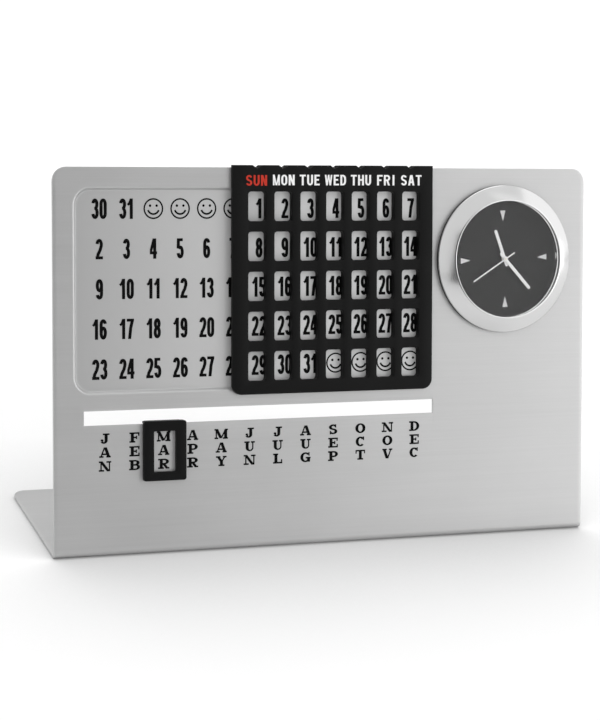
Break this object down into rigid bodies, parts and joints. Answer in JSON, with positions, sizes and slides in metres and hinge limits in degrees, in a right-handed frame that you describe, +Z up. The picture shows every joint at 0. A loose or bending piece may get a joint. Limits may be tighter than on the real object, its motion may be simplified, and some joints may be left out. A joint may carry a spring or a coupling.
{
  "type": "perpetual desk calendar",
  "caption": "Leaning bent-steel desk calendar with a sliding date window cover, a month slide in a slot, and an inset quartz clock.",
  "frame": {"origin": "on the table, under the middle of the whole object's box", "axes": "+X along the width to the viewer's right, +Y back, away from the viewer, +Z up"},
  "size_m": [0.191, 0.0498, 0.1197],
  "materials": {
    "steel": "brushed along its length, satin",
    "black_ink": "matt print",
    "white_ink": "matt print",
    "red_ink": "matt print",
    "slide_plastic": "moulded, satin",
    "bezel_metal": "fine turned",
    "lens_glass": "clear, polished",
    "ring_metal": "satin",
    "dial_paint": "matt",
    "mark_paint": "matt print",
    "hand_metal": "satin",
    "case_plastic": "moulded, fine grained",
    "ring_plastic": "moulded",
    "movement_plastic": "moulded",
    "brass": "turned",
    "screw_steel": "plated",
    "magnet": "ground",
    "stator_iron": "stamped",
    "copper_wire": "enamelled wire",
    "board_green": "lacquered",
    "can_metal": "drawn",
    "spring_metal": "stamped strip",
    "cell_metal": "pressed"
  },
  "bodies": {
    "stand": {"stand_plate": "steel", "date_numbers": "black_ink", "month_names": "black_ink", "clock_bezel": "bezel_metal", "clock_lens": "lens_glass", "clock_inner_ring": "ring_metal", "clock_dial": "dial_paint", "dial_marks": "mark_paint", "clock_case": "case_plastic", "retaining_ring": "ring_plastic", "main_plate": "movement_plastic", "train_bridge": "movement_plastic", "bridge_screws": "screw_steel", "stator": "stator_iron", "coil": "copper_wire", "circuit_board": "board_green", "quartz_crystal": "can_metal", "negative_contact": "spring_metal", "positive_contact": "spring_metal", "battery": "cell_metal", "back_cover": "case_plastic", "battery_hatch": "ring_plastic", "cover_screws": "screw_steel"},
    "date_slider": {"date_slide": "slide_plastic", "weekday_sunday": "red_ink", "weekday_names": "white_ink"},
    "month_slider": {"month_slide": "slide_plastic"},
    "setting_knob": {"set_knob": "case_plastic"},
    "minute_work": {"minute_wheel": "brass"},
    "minute_pipe": {"cannon_pinion": "brass", "minute_hand": "hand_metal"},
    "hour_pipe": {"hour_wheel": "brass", "hour_hand": "hand_metal"},
    "second_arbor": {"second_wheel": "brass", "second_hand": "hand_metal"},
    "third_arbor": {"third_wheel": "brass"},
    "centre_arbor": {"centre_wheel": "brass"},
    "intermediate_arbor": {"intermediate_wheel": "brass"},
    "rotor_arbor": {"rotor": "magnet"}
  },
  "joints": [
    {"name": "date_slide_travel", "type": "slide", "parent": "stand", "child": "date_slider", "axis": [1, 0, 0], "range_m": [-0.05349, 0.00135]},
    {"name": "month_slide_travel", "type": "slide", "parent": "stand", "child": "month_slider", "axis": [1, 0, 0], "range_m": [-0.02002, 0.08954]},
    {"name": "set_knob_turn", "type": "hinge", "parent": "stand", "child": "setting_knob", "pos_m": [0.0714, 0.00298, 0.08558], "axis": [0, 0.9483, -0.3173], "continuous": true},
    {"name": "minute_wheel_turn", "type": "hinge", "parent": "stand", "child": "minute_work", "pos_m": [0.069, 0.0043, 0.08952], "axis": [0, 0.9483, -0.3173], "continuous": true},
    {"name": "minute_hand_turn", "type": "hinge", "parent": "stand", "child": "minute_pipe", "pos_m": [0.0642, 0.0043, 0.08952], "axis": [0, 0.9483, -0.3173], "continuous": true},
    {"name": "hour_hand_turn", "type": "hinge", "parent": "stand", "child": "hour_pipe", "pos_m": [0.0642, 0.0043, 0.08952], "axis": [0, 0.9483, -0.3173], "continuous": true},
    {"name": "second_hand_turn", "type": "hinge", "parent": "stand", "child": "second_arbor", "pos_m": [0.0642, 0.0043, 0.08952], "axis": [0, 0.9483, -0.3173], "continuous": true},
    {"name": "third_wheel_turn", "type": "hinge", "parent": "stand", "child": "third_arbor", "pos_m": [0.06675, 0.00571, 0.09371], "axis": [0, 0.9483, -0.3173], "continuous": true},
    {"name": "centre_wheel_turn", "type": "hinge", "parent": "stand", "child": "centre_arbor", "pos_m": [0.0642, 0.0043, 0.08952], "axis": [0, 0.9483, -0.3173], "continuous": true},
    {"name": "intermediate_wheel_turn", "type": "hinge", "parent": "stand", "child": "intermediate_arbor", "pos_m": [0.05895, 0.0043, 0.08952], "axis": [0, 0.9483, -0.3173], "continuous": true},
    {"name": "rotor_turn", "type": "hinge", "parent": "stand", "child": "rotor_arbor", "pos_m": [0.05733, 0.00519, 0.09218], "axis": [0, 0.9483, -0.3173], "continuous": true}
  ],
  "couplings": [
    {"joint": "minute_wheel_turn", "follows": "set_knob_turn", "ratio": -0.33333},
    {"joint": "minute_hand_turn", "follows": "set_knob_turn", "ratio": 1},
    {"joint": "hour_hand_turn", "follows": "set_knob_turn", "ratio": 0.083333},
    {"joint": "third_wheel_turn", "follows": "second_hand_turn", "ratio": -0.13333},
    {"joint": "centre_wheel_turn", "follows": "second_hand_turn", "ratio": 0.016667},
    {"joint": "intermediate_wheel_turn", "follows": "second_hand_turn", "ratio": -6},
    {"joint": "rotor_turn", "follows": "second_hand_turn", "ratio": 30}
  ]
}
